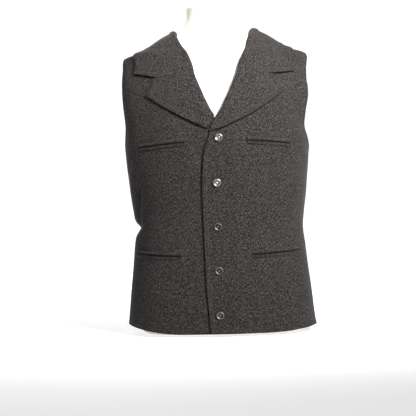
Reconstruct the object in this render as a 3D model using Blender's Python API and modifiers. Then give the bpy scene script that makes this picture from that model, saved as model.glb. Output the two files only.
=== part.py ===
"""A wool western vest with a notched collar, worn on a limbless dress form.

Metres, +Z up, the front towards -Y and +X on the viewer's right. The form stands on z = 0.
Every cloth piece is cut on one worn surface, torso(angle, height), and lies at its own lift above it.
Angles run round the body from the front centre: 0 is the front, 90 the viewer's right, 180 the back.
"""

import math

import bmesh
import bpy
from mathutils import Vector

# Cloth and the gaps between pieces
CLOTH = 0.0024
SEAM_GAP = 0.0003
LAYER_GAP = 0.0008
ON_CLOTH = CLOTH + LAYER_GAP

# The worn surface, the inner face of the panels, ring by ring
# Columns: height, half width, front depth, back depth, squareness
SECTIONS = (
    (-0.005, 0.206, 0.128, 0.128, 2.5),
    (0.045, 0.200, 0.127, 0.126, 2.5),
    (0.095, 0.195, 0.125, 0.122, 2.5),
    (0.145, 0.189, 0.122, 0.117, 2.5),
    (0.185, 0.185, 0.120, 0.112, 2.5),
    (0.226, 0.181, 0.119, 0.108, 2.5),
    (0.260, 0.184, 0.120, 0.109, 2.5),
    (0.295, 0.189, 0.124, 0.113, 2.5),
    (0.335, 0.193, 0.130, 0.118, 2.5),
    (0.376, 0.197, 0.135, 0.123, 2.5),
    (0.415, 0.199, 0.137, 0.127, 2.5),
    (0.441, 0.199, 0.136, 0.130, 2.5),
    (0.495, 0.207, 0.128, 0.132, 2.5),
    (0.543, 0.210, 0.114, 0.127, 2.4),
    (0.575, 0.205, 0.101, 0.118, 2.3),
    (0.600, 0.199, 0.089, 0.105, 2.2),
    (0.612, 0.162, 0.080, 0.094, 2.2),
    (0.628, 0.126, 0.072, 0.082, 2.1),
    (0.642, 0.102, 0.066, 0.073, 2.0),
    (0.655, 0.083, 0.061, 0.066, 2.0),
    (0.669, 0.069, 0.058, 0.060, 2.0),
    (0.687, 0.062, 0.056, 0.057, 2.0),
    (0.709, 0.060, 0.055, 0.056, 2.0),
)
# The vest is worn a little askew: the middle of its upper front is pulled to the right,
# between heights where the pull sets in and ends, and between angles on the left and on the right
SKEW = 0.0088
SKEW_LOW = (0.280, 0.455)
SKEW_HIGH = (0.600, 0.660)
SKEW_LEFT = (-58.0, -40.0)
SKEW_RIGHT = (15.0, 36.0)

# Heights of the cut
HEM_FRONT = 0.006
HEM_LEFT = 0.024
HEM_RIGHT = 0.013
HEM_BACK = 0.007
# Angles between which the hem climbs from its low centre to the side seam
CLIMB_LEFT = (15.0, 84.0)
CLIMB_RIGHT = (25.0, 84.0)
CLIMB_BACK = (92.0, 165.0)
ARMPIT = 0.397
V_BOTTOM = 0.463
BREAK_LEFT = 0.438
BREAK_RIGHT = 0.431
GORGE = 0.551
SHOULDER_TIP = 0.601
NECK_POINT = 0.651
BACK_NECK = 0.645
FORM_TOP = 0.709

# Angles of the cut
SIDE_SEAM = 90.0
SHOULDER_SEAM = 84.0

# Armhole edges. Columns: height, angle in front, angle behind
ARMHOLE = (
    (ARMPIT, 90.0, 90.0),
    (0.403, 84.5, 96.0),
    (0.420, 78.0, 102.5),
    (0.450, 72.0, 108.5),
    (0.495, 68.0, 112.0),
    (0.543, 68.5, 111.0),
    (0.573, 72.5, 106.0),
    (0.589, 77.5, 99.5),
    (SHOULDER_TIP, SHOULDER_SEAM, SHOULDER_SEAM),
)

# Roll line of the lapels and collar. Columns: height, distance from the centre line
V_EDGE = (
    (V_BOTTOM, 0.0060),
    (0.475, 0.0140),
    (0.490, 0.0210),
    (0.505, 0.0280),
    (0.518, 0.0335),
    (0.535, 0.0405),
    (0.547, 0.0455),
    (0.568, 0.0525),
    (0.588, 0.0600),
    (0.602, 0.0665),
    (0.613, 0.0730),
    (0.630, 0.0800),
    (0.642, 0.0820),
    (NECK_POINT, 0.0825),
)

# Front edge of the top front, below the V. Columns: height, distance past the centre line
OVERLAP_EDGE = (
    (-0.005, 0.0140),
    (0.062, 0.0185),
    (0.100, 0.0215),
    (0.203, 0.0240),
    (0.329, 0.0255),
    (0.371, 0.0250),
    (0.394, 0.0230),
    (0.419, 0.0150),
    (0.438, 0.0085),
    (V_BOTTOM, -0.0060),
)
TUCK = 0.0120
OVERLAP_LIFT = ON_CLOTH
UNDERLAP = 0.9
OVERLAP_FLAT = 0.034
OVERLAP_FADE = 0.050
OVERLAP_TOP = 0.467

# Columns of cloth across a front and its yoke, which share their seam, and across the back
FRONT_COLUMNS = 11
BACK_COLUMNS = 20
# Rows of cloth up to the armpit, closer at the waist. Columns: height, rows that lead to it
BODY_ROWS = ((0.190, 5), (0.262, 5), (0.371, 3), (ARMPIT, 1))

# Front yoke seam. Columns: angle, height
YOKE_SEAM = (
    (0.0, 0.493),
    (25.0, 0.498),
    (43.0, 0.509),
    (52.0, 0.519),
    (60.0, 0.528),
    (70.0, 0.533),
    (90.0, 0.535),
)

# Lapel and collar corners, as distance from the centre line and height
LAPEL_TIP = (0.147, 0.512)
NOTCH = (0.127, 0.549)
COLLAR_ROWS = 20
COLLAR_REACH = 0.0022
COLLAR_LOFT = 0.0006
# Lift of the collar's middle over the shoulder, and how much lower its right point lies
COLLAR_PUFF = 0.0048
RIGHT_TIP_DROP = 0.0060

# Collar from its front end round to the centre back
# Columns: station, neck angle, edge angle, edge height, stand height
COLLAR = (
    (0.00, 9.6, 52.0, 0.561, 0.000),
    (0.10, 13.0, 51.5, 0.577, 0.000),
    (0.20, 20.0, 53.5, 0.592, 0.001),
    (0.32, 34.0, 62.0, 0.607, 0.002),
    (0.46, 58.0, 77.0, 0.617, 0.003),
    (0.60, 88.0, 97.0, 0.619, 0.005),
    (0.80, 135.0, 138.0, 0.611, 0.009),
    (1.00, 180.0, 180.0, 0.607, 0.011),
)

# Neckline under the collar. Columns: angle, height
BACK_NECKLINE = (
    (SHOULDER_SEAM, NECK_POINT),
    (120.0, 0.650),
    (150.0, 0.646),
    (180.0, BACK_NECK),
)

# Roll of lapel and collar, from the inside of the edge over the fold to the fall
# Columns: distance out from the edge, lift, share of the stand height
ROLL = (
    (-0.0009, 0.0004, 0.00),
    (-0.0010, 0.0018, 0.45),
    (-0.0003, 0.0037, 0.90),
    (0.0022, 0.0044, 1.00),
    (0.0062, 0.0041, 0.86),
)
ROLL_TOP = 0.0044
ROLL_JOG = 0.0010

# Largest folds of the worn cloth, pressed in from its face, or out where the depth is negative
# Columns: angle, height, depth, half angle, half height, rise of the fold per degree
FOLDS = (
    (-86.0, 0.229, 0.0125, 24.0, 0.012, 0.0004),
    (-58.0, 0.313, 0.0035, 10.0, 0.040, 0.0000),
    (72.0, 0.507, -0.0045, 16.0, 0.024, 0.0000),
    (82.0, 0.442, 0.0045, 14.0, 0.018, 0.0000),
    (122.0, 0.245, 0.0040, 20.0, 0.018, 0.0006),
    (-128.0, 0.240, 0.0040, 18.0, 0.016, -0.0006),
)

# Jetted pockets: inner and outer end, as distance from the centre, height inside, rise outwards
POCKETS = {
    "chest": (0.065, 0.160, 0.4095, -0.0070),
    "hip": (0.076, 0.172, 0.1700, 0.0065),
}
WELT_WIDTH = 0.0072
WELT_THICK = 0.0013
SLOT = 0.0008
WELT_COLUMNS = 8

# Snaps down the centre front
SNAP_TOP = 0.417
SNAP_LINE = 0.0055
SNAP_PITCH = 0.093
SNAP_COUNT = 5
SNAP_RADIUS = 0.0086
SNAP_SIDES = 14
# Columns: radius, height above the cloth
SNAP_PROFILE = (
    (0.0000, 0.0026),
    (0.0011, 0.0025),
    (0.0015, 0.0017),
    (0.0048, 0.0018),
    (0.0060, 0.0030),
    (0.0075, 0.0029),
    (SNAP_RADIUS, 0.0014),
    (SNAP_RADIUS, 0.0003),
    (0.0000, 0.0003),
)

# How far the dress form stays inside the worn cloth, which rests on its shoulders
# Columns: height, ease all round, more ease at the armholes
FORM_EASE = (
    (0.000, 0.0290, 0.000),
    (0.060, 0.0180, 0.000),
    (0.120, 0.0094, 0.000),
    (0.200, 0.0174, 0.000),
    (0.250, 0.0174, 0.000),
    (0.340, 0.0094, 0.000),
    (0.395, 0.0094, 0.000),
    (0.475, 0.0094, 0.013),
    (0.540, 0.0094, 0.013),
    (0.575, 0.0064, 0.013),
    (0.600, 0.0036, 0.007),
    (0.622, 0.0012, 0.001),
    (0.634, 0.0009, 0.000),
    (0.641, 0.0010, 0.000),
    (0.650, 0.0029, 0.000),
    (0.655, 0.0027, 0.000),
    (0.667, 0.0000, 0.000),
    (FORM_TOP, 0.0000, 0.000),
)
ARM_SHARPNESS = 6
FORM_ROUND = 0.003
FOOT_ROUND = 0.018
FORM_SIDES = 36

# Colour, roughness and metallic value
WOOL_LOOK = ((0.068, 0.060, 0.060, 1.0), 0.92, 0.0)
FORM_LOOK = ((0.86, 0.80, 0.72, 1.0), 0.70, 0.0)
METAL_LOOK = ((0.60, 0.55, 0.50, 1.0), 0.28, 1.0)


def read(table, key):
    """The columns of a table at a key, on a smooth curve through its rows that never overshoots."""
    key = min(max(key, table[0][0]), table[-1][0])
    upper = next(i for i in range(1, len(table)) if key <= table[i][0])
    start, end = table[upper - 1], table[upper]
    span = end[0] - start[0]
    part = (key - start[0]) / span
    return tuple(
        hermite(part, start[c], end[c], slope(table, upper - 1, c) * span, slope(table, upper, c) * span)
        for c in range(1, len(start))
    )


def slope(table, row, column):
    """The slope of a column at a row, level where the column turns."""
    if row in (0, len(table) - 1):
        other = 1 if row == 0 else row - 1
        return (table[other][column] - table[row][column]) / (table[other][0] - table[row][0])
    before = (table[row][column] - table[row - 1][column]) / (table[row][0] - table[row - 1][0])
    after = (table[row + 1][column] - table[row][column]) / (table[row + 1][0] - table[row][0])
    return 2 * before * after / (before + after) if before * after > 0 else 0.0


def hermite(part, start, end, start_slope, end_slope):
    rest = 1 - part
    return (
        start * rest * rest * (1 + 2 * part)
        + end * part * part * (3 - 2 * part)
        + start_slope * part * rest * rest
        - end_slope * part * part * rest
    )


def smooth(low, high, value):
    """0 below low, 1 above high, and a soft step between them."""
    part = min(max((value - low) / (high - low), 0.0), 1.0)
    return part * part * (3 - 2 * part)


def skew(angle, height):
    """How far the worn front is pulled to the right here."""
    turn = (angle + 180) % 360 - 180
    level = smooth(*SKEW_LOW, height) * (1 - smooth(*SKEW_HIGH, height))
    return SKEW * level * smooth(*SKEW_LEFT, turn) * (1 - smooth(*SKEW_RIGHT, turn))


def ring_point(angle, height):
    """A point of the section at this height."""
    half_width, front, back, square = read(SECTIONS, height)
    sine = math.sin(math.radians(angle))
    cosine = math.cos(math.radians(angle))
    depth = front if cosine > 0 else back
    x = half_width * math.copysign(abs(sine) ** (2 / square), sine) + skew(angle, height)
    y = -depth * math.copysign(abs(cosine) ** (2 / square), cosine)
    return Vector((x, y, height))


def normal(angle, height):
    """Outward direction of the worn surface."""
    turn, rise = 1.5, 0.0015
    around = ring_point(angle + turn, height) - ring_point(angle - turn, height)
    upward = ring_point(angle, height + rise) - ring_point(angle, height - rise)
    return around.cross(upward).normalized()


def fold_depth(angle, height):
    """How far the folds press the cloth in here."""
    depth = 0.0
    for centre, level, deepest, half_angle, half_height, rise in FOLDS:
        turn = (angle - centre + 180) % 360 - 180
        across = turn / half_angle
        along = (height - level - rise * turn) / half_height
        depth += deepest * math.exp(-across * across - along * along)
    return depth


def torso(angle, height, lift):
    """A point at this lift above the worn surface, folds included."""
    return ring_point(angle, height) + normal(angle, height) * (lift - fold_depth(angle, height))


def angle_at(x, height):
    """The angle of a point on the front at a distance from the centre line."""
    half_width, _, _, square = read(SECTIONS, height)
    sine = min(abs(x) / half_width, 1.0) ** (square / 2)
    return math.copysign(math.degrees(math.asin(sine)), x)


def hem_height(angle):
    """The hem dips at the front centre and a little at the back, and hangs lower on the right."""
    turn = (angle + 180) % 360 - 180
    side, climb = (HEM_RIGHT, CLIMB_RIGHT) if turn > 0 else (HEM_LEFT, CLIMB_LEFT)
    if abs(turn) < SIDE_SEAM:
        return HEM_FRONT + (side - HEM_FRONT) * smooth(*climb, abs(turn))
    return side + (HEM_BACK - side) * smooth(*CLIMB_BACK, abs(turn))


def overlap_lift(x, height):
    """Lift of the top front, which lies on the other one along the centre."""
    across = 1 - smooth(OVERLAP_FLAT, OVERLAP_FLAT + OVERLAP_FADE, x)
    return OVERLAP_LIFT * across * (1 - smooth(OVERLAP_TOP, GORGE, height))


def steps(*stops):
    """Heights from stop to stop. Each stop after the first is a height and the rows that lead to it."""
    heights = [stops[0]]
    for height, rows in stops[1:]:
        start = heights[-1]
        heights += [start + (height - start) * (i + 1) / rows for i in range(rows)]
    return heights


def grid_mesh(name, points):
    """An open surface through rows of points, facing away from the body."""
    rows, columns = len(points), len(points[0])
    mesh = bpy.data.meshes.new(name)
    bm = bmesh.new()
    bmesh.ops.create_grid(bm, x_segments=columns - 1, y_segments=rows - 1, size=1)
    bm.verts.ensure_lookup_table()
    for row in range(rows):
        for column in range(columns):
            bm.verts[row * columns + column].co = points[row][column]
    bm.to_mesh(mesh)
    bm.free()
    return mesh


def material(name, look):
    colour, roughness, metallic = look
    made = bpy.data.materials.new(name)
    made.use_nodes = True
    shader = made.node_tree.nodes["Principled BSDF"]
    shader.inputs["Base Color"].default_value = colour
    shader.inputs["Roughness"].default_value = roughness
    shader.inputs["Metallic"].default_value = metallic
    return made


def place(name, mesh, look):
    """One named object with its own material, shaded smooth."""
    mesh.materials.append(material(name, look))
    mesh.shade_smooth()
    mesh.set_sharp_from_angle(angle=math.radians(40))
    piece = bpy.data.objects.new(name, mesh)
    bpy.data.collections["western_vest"].objects.link(piece)
    return piece


def cloth(name, points, thickness=CLOTH):
    """A cloth piece: an open surface given its thickness outwards."""
    piece = place(name, grid_mesh(name, points), WOOL_LOOK)
    wall = piece.modifiers.new("thickness", "SOLIDIFY")
    wall.thickness = thickness
    wall.offset = 1.0
    return piece


def panel_points(heights, columns, low, high, start, end, lift, side=1):
    """Rows of a panel between a low and a high edge (by angle) and two sides (by height)."""
    first, last = heights[0], heights[-1]
    points = []
    for nominal in heights:
        share = (nominal - first) / (last - first)
        row = []
        for column in range(columns + 1):
            height = nominal
            for _ in range(4):
                angle = start(height) + (end(height) - start(height)) * column / columns
                height = nominal + (low(side * angle) - first) * (1 - share) ** 2 + (high(angle) - last) * share**2
            row.append(torso(side * angle, height, lift(angle, height)))
        points.append(row[::side])
    return points


def seam_turn(angle, height):
    """Half a seam's gap, as an angle at this place."""
    around = (ring_point(angle + 1, height) - ring_point(angle - 1, height)).length / 2
    return SEAM_GAP / 2 / around


def armhole_angle(height, behind):
    """Outer edge of a panel: side seam, armhole, then shoulder seam."""
    if height <= ARMPIT:
        angle = SIDE_SEAM
    elif height >= SHOULDER_TIP:
        angle = SHOULDER_SEAM
    else:
        angle = read(ARMHOLE, height)[1 if behind else 0]
    gap = seam_turn(angle, height)
    return angle + gap if behind else angle - gap


def v_angle(height):
    """Inner edge of a front above the V bottom."""
    return angle_at(read(V_EDGE, height)[0], height)


def top_front_edge(height):
    """Front edge of the top front, past the centre line below the V."""
    if height >= V_BOTTOM:
        return v_angle(height)
    return angle_at(-read(OVERLAP_EDGE, height)[0], height)


def under_front_edge(height):
    """Front edge of the other front, hidden under the top one."""
    if height >= V_BOTTOM:
        return v_angle(height)
    return angle_at(-UNDERLAP * read(OVERLAP_EDGE, height)[0], height)


def yoke_height(angle):
    return read(YOKE_SEAM, abs(angle))[0]


def flat_lift(angle, height):
    """Lift of a panel that lies straight on the wearer."""
    return 0.0


def top_front_lift(angle, height):
    """Lift of the top front and its yoke."""
    return overlap_lift(ring_point(angle, height).x, height)


SIDES = (
    ("left", -1, under_front_edge, flat_lift),
    ("right", 1, top_front_edge, top_front_lift),
)


def make_back():
    heights = steps(HEM_BACK, *BODY_ROWS, (0.535, 5), (SHOULDER_TIP, 5), (BACK_NECK, 8))
    points = panel_points(
        heights,
        BACK_COLUMNS,
        low=hem_height,
        high=lambda angle: read(BACK_NECKLINE, min(angle, 360 - angle))[0],
        start=lambda height: armhole_angle(height, True),
        end=lambda height: 360 - armhole_angle(height, True),
        lift=flat_lift,
    )
    cloth("back", points)


def make_fronts():
    heights = steps(HEM_FRONT, *BODY_ROWS, (V_BOTTOM, 5), (YOKE_SEAM[0][1], 2))
    for name, side, front_edge, lift in SIDES:
        points = panel_points(
            heights,
            FRONT_COLUMNS,
            low=hem_height,
            high=lambda angle: yoke_height(angle) - SEAM_GAP / 2,
            start=front_edge,
            end=lambda height: armhole_angle(height, False),
            lift=lift,
            side=side,
        )
        cloth(f"front_{name}", points)


def make_yokes():
    heights = steps(YOKE_SEAM[0][1], (SHOULDER_TIP, 6), (NECK_POINT, 8))
    for name, side, _, lift in SIDES:
        points = panel_points(
            heights,
            FRONT_COLUMNS,
            low=lambda angle: yoke_height(angle) + SEAM_GAP / 2,
            high=lambda angle: NECK_POINT,
            start=v_angle,
            end=lambda height: armhole_angle(height, False),
            lift=lift,
            side=side,
        )
        cloth(f"yoke_{name}", points)


def along(start, end, share):
    """A point on the straight line between two places given as distance and height."""
    return tuple(a + (b - a) * share for a, b in zip(start, end))


def rolled_row(edge, outer, side, lift, stops=None, stand=0, sag=0, floor=0, reach=0, loft=0, puff=0):
    """A row of lapel or collar, from inside the edge over its roll and out along the panel.

    The edge and the outer end are places (angle, height). Stops are shares of the way out, sag lowers
    the row at the notch, and floor keeps the roll above a panel that runs on under it. Reach sets the
    inside of the roll further in from the edge, loft lifts the fall off its panel, and puff lifts its
    middle where it spans from the neck to the shoulder.
    """
    width = (torso(side * outer[0], outer[1], 0) - torso(side * edge[0], edge[1], 0)).length
    row = []
    squash = 1 - floor / ROLL_TOP
    for out, rise, stand_share in ROLL:
        out = out * squash if out < 0 else out
        out -= reach * (1 - stand_share) ** 0.5
        angle, height = along(edge, outer, out / width)
        rise = floor + rise * squash
        row.append(torso(side * angle, height, lift(angle, height) + rise + stand * stand_share))
    start = ROLL[-1][0] / width
    level = ON_CLOTH + loft
    top = ROLL[-1][1] - level + stand * ROLL[-1][2]
    notch, stops = stops or (1.0, steps(0.0, (1.0, 9)))
    for stop in stops[1:]:
        share = start + (1 - start) * stop
        angle, height = along(edge, outer, share)
        height -= sag * (share / notch if share <= notch else (1 - share) / (1 - notch))
        rise = level + top * (1 - share) ** 3 + puff * math.sin(math.pi * stop)
        row.append(torso(side * angle, height, lift(angle, height) + rise))
    return row[::side]


def lapel_edge(side, height):
    """Roll line of a lapel. The left one ends beside the top front's edge."""
    if height >= V_BOTTOM or side == 1:
        return top_front_edge(height)
    return angle_at(read(OVERLAP_EDGE, height)[0] + TUCK, height)


def make_lapels():
    tip = (angle_at(*LAPEL_TIP), LAPEL_TIP[1])
    notch = (angle_at(*NOTCH), NOTCH[1] - SEAM_GAP)
    top = GORGE - SEAM_GAP
    for name, side, _, lift in SIDES:
        low = BREAK_RIGHT if side == 1 else BREAK_LEFT
        points = []
        for height in steps(low, (V_BOTTOM, 3), (V_BOTTOM + ROLL_JOG, 1), (V_BOTTOM + 2 * ROLL_JOG, 1), (top, 8)):
            outer = along(tip, notch, (height - low) / (top - low))
            edge = (lapel_edge(side, height), height)
            floor = ON_CLOTH + SEAM_GAP if side == -1 and height <= V_BOTTOM + ROLL_JOG else 0.0
            points.append(rolled_row(edge, outer, side, lift, floor=floor))
        cloth(f"lapel_{name}", points)


def collar_row(station, side):
    """One row of the collar, from the neckline over the fold to the outer edge."""
    neck_angle, edge_angle, edge_height, stand = read(COLLAR, station)
    neck_angle = max(neck_angle, v_angle(GORGE + SEAM_GAP))
    edge = (neck_angle, neckline_height(neck_angle))
    tip_angle, tip_height = read(COLLAR, 0.0)[1:3]
    tip_height -= tip_drop(side, 0.0)
    gorge_angle = v_angle(GORGE)
    notch = (angle_at(*NOTCH) - gorge_angle) / (tip_angle - gorge_angle)
    straight = GORGE + (tip_height - GORGE) * notch
    sag = (straight - NOTCH[1] - SEAM_GAP) * (1 - smooth(0.0, 0.3, station))
    reach = COLLAR_REACH * smooth(0.0, 0.1, station)
    stops = (notch, steps(0.0, (notch, 5), (1.0, 4)))
    outer = (edge_angle, edge_height - tip_drop(side, station))
    puff = COLLAR_PUFF * smooth(0.15, 0.42, station) * (1 - smooth(0.70, 1.0, station))
    return rolled_row(edge, outer, side, side_lift(side), stops, stand, sag, 0.0, reach, COLLAR_LOFT, puff)


def tip_drop(side, station):
    """How much lower the collar's edge lies near its right point."""
    return RIGHT_TIP_DROP * (1 - smooth(0.0, 0.2, station)) if side == 1 else 0.0


def side_lift(side):
    return SIDES[0][3] if side == -1 else SIDES[1][3]


def neckline_height(angle):
    """Height of the neckline at an angle: the roll line in front, the back neck behind."""
    if angle >= SHOULDER_SEAM:
        return read(BACK_NECKLINE, angle)[0]
    low, high = V_BOTTOM, NECK_POINT
    for _ in range(30):
        middle = (low + high) / 2
        if v_angle(middle) < angle:
            low = middle
        else:
            high = middle
    return low


def make_collar():
    stations = [i / COLLAR_ROWS for i in range(COLLAR_ROWS + 1)]
    left = [collar_row(station, -1) for station in stations]
    right = [collar_row(station, 1)[::-1] for station in reversed(stations[:-1])]
    cloth("collar", left + right)


def make_pockets():
    for side, side_name in ((-1, "left"), (1, "right")):
        for pair, (start, end, height, rise) in POCKETS.items():
            for part, step in (("lower", -1), ("upper", 1)):
                near = SLOT / 2
                points = []
                for across in sorted((step * near, step * (near + WELT_WIDTH))):
                    row = []
                    inner, outer = angle_at(start, height), angle_at(end, height)
                    for i in range(WELT_COLUMNS + 1):
                        angle = inner + (outer - inner) * i / WELT_COLUMNS
                        level = height + rise * i / WELT_COLUMNS + across
                        row.append(torso(side * angle, level, side_lift(side)(angle, level) + ON_CLOTH))
                    points.append(row[::side])
                cloth(f"pocket_{pair}_{side_name}_{part}_welt", points, WELT_THICK)


def make_snaps():
    profile = bpy.data.meshes.new("snap")
    bm = bmesh.new()
    verts = [bm.verts.new((radius, 0, height)) for radius, height in SNAP_PROFILE]
    for start, end in zip(verts, verts[1:]):
        bm.edges.new((start, end))
    bmesh.ops.spin(
        bm,
        geom=bm.verts[:] + bm.edges[:],
        cent=(0, 0, 0),
        axis=(0, 0, 1),
        angle=math.tau,
        steps=SNAP_SIDES,
        use_merge=True,
    )
    bmesh.ops.remove_doubles(bm, verts=bm.verts, dist=1e-6)
    bmesh.ops.recalc_face_normals(bm, faces=bm.faces)
    bm.to_mesh(profile)
    bm.free()
    for number in range(SNAP_COUNT):
        height = SNAP_TOP - SNAP_PITCH * number
        snap = place(f"snap_{number + 1}", profile.copy(), METAL_LOOK)
        angle = angle_at(SNAP_LINE, height)
        snap.location = torso(angle, height, OVERLAP_LIFT + CLOTH)
        snap.rotation_euler = normal(angle, height).to_track_quat("Z", "Y").to_euler()


def form_ease(angle, height):
    """How far the form stays inside the cloth here."""
    ease, arm_ease = read(FORM_EASE, height)
    return ease + arm_ease * abs(math.sin(math.radians(angle))) ** ARM_SHARPNESS


def form_rows():
    """Heights of the form's rings, each with its inset: a rounded foot, the body, a rounded neck top."""
    foot = [math.radians(angle) for angle in (0, 22.5, 45, 67.5)]
    rim = [math.radians(angle) for angle in (0, 45)]
    rows = [(FOOT_ROUND * (1 - math.cos(a)), FOOT_ROUND * (1 - math.sin(a))) for a in foot]
    body = steps(FOOT_ROUND, (ARMPIT, 10), (0.585, 7), (0.687, 13), (FORM_TOP - FORM_ROUND, 1))
    rows += [(height, 0.0) for height in body]
    rows += [(FORM_TOP - FORM_ROUND * (1 - math.cos(a)), FORM_ROUND * (1 - math.sin(a))) for a in reversed(rim)]
    return rows


def make_form():
    points = []
    for height, inset in form_rows():
        row = []
        for i in range(FORM_SIDES + 1):
            angle = 360 * i / FORM_SIDES
            outward = normal(angle, height)
            point = ring_point(angle, height) - outward * form_ease(angle, height)
            point -= Vector((outward.x, outward.y, 0)) * inset
            if inset:
                point.z = height
            row.append(point)
        points.append(row)
    mesh = grid_mesh("dress_form", points)
    bm = bmesh.new()
    bm.from_mesh(mesh)
    bmesh.ops.remove_doubles(bm, verts=bm.verts, dist=1e-6)
    rims = [edge for edge in bm.edges if edge.is_boundary]
    bmesh.ops.holes_fill(bm, edges=rims, sides=0)
    bmesh.ops.recalc_face_normals(bm, faces=bm.faces)
    bm.to_mesh(mesh)
    bm.free()
    place("dress_form", mesh, FORM_LOOK)


def build():
    for old in list(bpy.data.objects):
        bpy.data.objects.remove(old)
    collection = bpy.data.collections.new("western_vest")
    bpy.context.scene.collection.children.link(collection)
    make_form()
    make_back()
    make_fronts()
    make_yokes()
    make_lapels()
    make_collar()
    make_pockets()
    make_snaps()


build()
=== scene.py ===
"""A charcoal wool western vest on a limbless dress form: its looks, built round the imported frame.

Metres, +Z up, the front towards -Y and +X on the viewer's right, as in the frame.
Angles run round the body from the front centre: 0 is the front, 90 the viewer's right, 180 the back.
"""

import math

import bmesh
import bpy
from mathutils import Matrix, Vector, kdtree


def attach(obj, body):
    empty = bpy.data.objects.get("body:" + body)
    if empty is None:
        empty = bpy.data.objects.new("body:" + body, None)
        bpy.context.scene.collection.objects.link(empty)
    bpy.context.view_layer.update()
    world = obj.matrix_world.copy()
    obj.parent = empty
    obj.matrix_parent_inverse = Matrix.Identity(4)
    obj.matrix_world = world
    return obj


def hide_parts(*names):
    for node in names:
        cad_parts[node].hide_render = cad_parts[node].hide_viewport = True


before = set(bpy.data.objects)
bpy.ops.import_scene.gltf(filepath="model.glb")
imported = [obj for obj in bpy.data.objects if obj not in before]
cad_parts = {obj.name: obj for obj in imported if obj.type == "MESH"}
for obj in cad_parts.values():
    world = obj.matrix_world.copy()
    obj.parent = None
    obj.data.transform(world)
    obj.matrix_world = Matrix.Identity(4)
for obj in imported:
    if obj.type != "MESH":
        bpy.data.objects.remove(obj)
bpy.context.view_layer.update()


# Studio
# White paper under the form, a bright white wall behind it and a pale backdrop that sheds little light.
# A soft key light stands high on the viewer's right; others fill the left, the shoulders and the back.
# The photograph's side in pixels, metres to a pixel, and the pixel column of the vest's centre
PHOTO_SIZE = 416
PIXEL = 0.0022
CENTRE_PIXEL = 219
# The camera, in millimetres, metres and turns
SENSOR = 36.0
CAMERA_DISTANCE = 2.6
CAMERA_HEIGHT = 0.27
CAMERA_AZIMUTH = math.radians(4.0)
CAMERA_ROLL = math.radians(-1.7)
FLOOR_RADIUS = 14.0
FLOOR_COLOUR = (0.60, 0.60, 0.60, 1.0)
# How strongly the paper glows near the form and far behind it, and how deep those places lie
FLOOR_GLOW = (1.12, 1.70)
FLOOR_GLOW_DEPTH = (-0.3, 3.0)
# The wall, the share of a look straight at it where it sets in, and the dim room round it
WALL = (1.1, 1.1, 1.1, 1.0)
WALL_EDGE = (0.84, 0.95)
ROOM = (0.14, 0.14, 0.14, 1.0)
ROOM_LEFT = (0.03, 0.03, 0.03, 1.0)
# How pale the camera sees that room at least, while its light on the form stays dim
BACKDROP = (0.80, 0.80, 0.80, 1.0)
# Columns: name, place, side length, power, spread in degrees, what it points at
LIGHTS = (
    ("key", (1.12, -1.33, 1.42), 0.6, 14.6, 50.0, (0.06, 0.0, 0.46)),
    ("fill", (-1.0, -2.6, 1.2), 1.0, 0.3, 180.0, (0.0, 0.0, 0.50)),
    ("shoulder", (-1.2, -1.2, 2.0), 0.4, 0.8, 20.0, (-0.16, -0.05, 0.64)),
    ("top", (0.20, -0.15, 1.8), 0.6, 1.2, 180.0, (0.0, 0.0, 0.50)),
    ("rear", (-1.2, 2.2, 1.5), 1.4, 30.0, 180.0, (0.0, 0.0, 0.50)),
)


def add_object(name, data):
    """A new object in the scene."""
    made = bpy.data.objects.new(name, data)
    bpy.context.scene.collection.objects.link(made)
    return made


def make_camera():
    data = bpy.data.cameras.new("camera")
    data.sensor_width = SENSOR
    data.lens = SENSOR * CAMERA_DISTANCE / (PHOTO_SIZE * PIXEL)
    data.shift_x = (PHOTO_SIZE / 2 - CENTRE_PIXEL) / PHOTO_SIZE
    camera = add_object("camera", data)
    camera.location = (
        math.sin(CAMERA_AZIMUTH) * CAMERA_DISTANCE,
        -math.cos(CAMERA_AZIMUTH) * CAMERA_DISTANCE,
        CAMERA_HEIGHT,
    )
    turn = Matrix.Rotation(CAMERA_AZIMUTH, 3, "Z") @ Matrix.Rotation(math.pi / 2, 3, "X")
    camera.rotation_euler = (turn @ Matrix.Rotation(CAMERA_ROLL, 3, "Z")).to_euler()
    bpy.context.scene.camera = camera


def make_light(name, place, size, power, beam, target):
    data = bpy.data.lights.new(name, "AREA")
    data.size = size
    data.energy = power
    data.spread = math.radians(beam)
    light = add_object(name, data)
    light.location = place
    light.rotation_euler = (Vector(target) - Vector(place)).to_track_quat("-Z", "Y").to_euler()


def join(tree, node, sockets):
    """Give some inputs of a node their values, or link them to other nodes' outputs."""
    for socket, value in sockets.items():
        if isinstance(value, bpy.types.NodeSocket):
            tree.links.new(value, node.inputs[socket])
        else:
            node.inputs[socket].default_value = value


def add_node(tree, kind, sockets=None, **settings):
    """A new node with its settings, and its inputs joined."""
    made = tree.nodes.new(f"ShaderNode{kind}")
    for setting, value in settings.items():
        setattr(made, setting, value)
    join(tree, made, sockets or {})
    return made


def map_range(tree, value, start, end, low=0.0, high=1.0, **settings):
    """The value moved from one range to another."""
    sockets = {"Value": value, "From Min": start, "From Max": end, "To Min": low, "To Max": high}
    return add_node(tree, "MapRange", sockets, **settings).outputs["Result"]


def mix_colours(tree, share, first, second, blend="MIX"):
    sockets = {"Factor": share, "A": first, "B": second}
    return add_node(tree, "Mix", sockets, data_type="RGBA", blend_type=blend).outputs["Result"]


def colour_ramp(tree, value, *stops):
    """A value's colour between stops, each a place and its colour."""
    made = add_node(tree, "ValToRGB", {"Fac": value})
    elements = made.color_ramp.elements
    for element, stop in ((elements[0], stops[0]), (elements[1], stops[-1])):
        element.position, element.color = stop
    for place, colour in stops[1:-1]:
        elements.new(place).color = colour
    return made.outputs["Color"]


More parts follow.
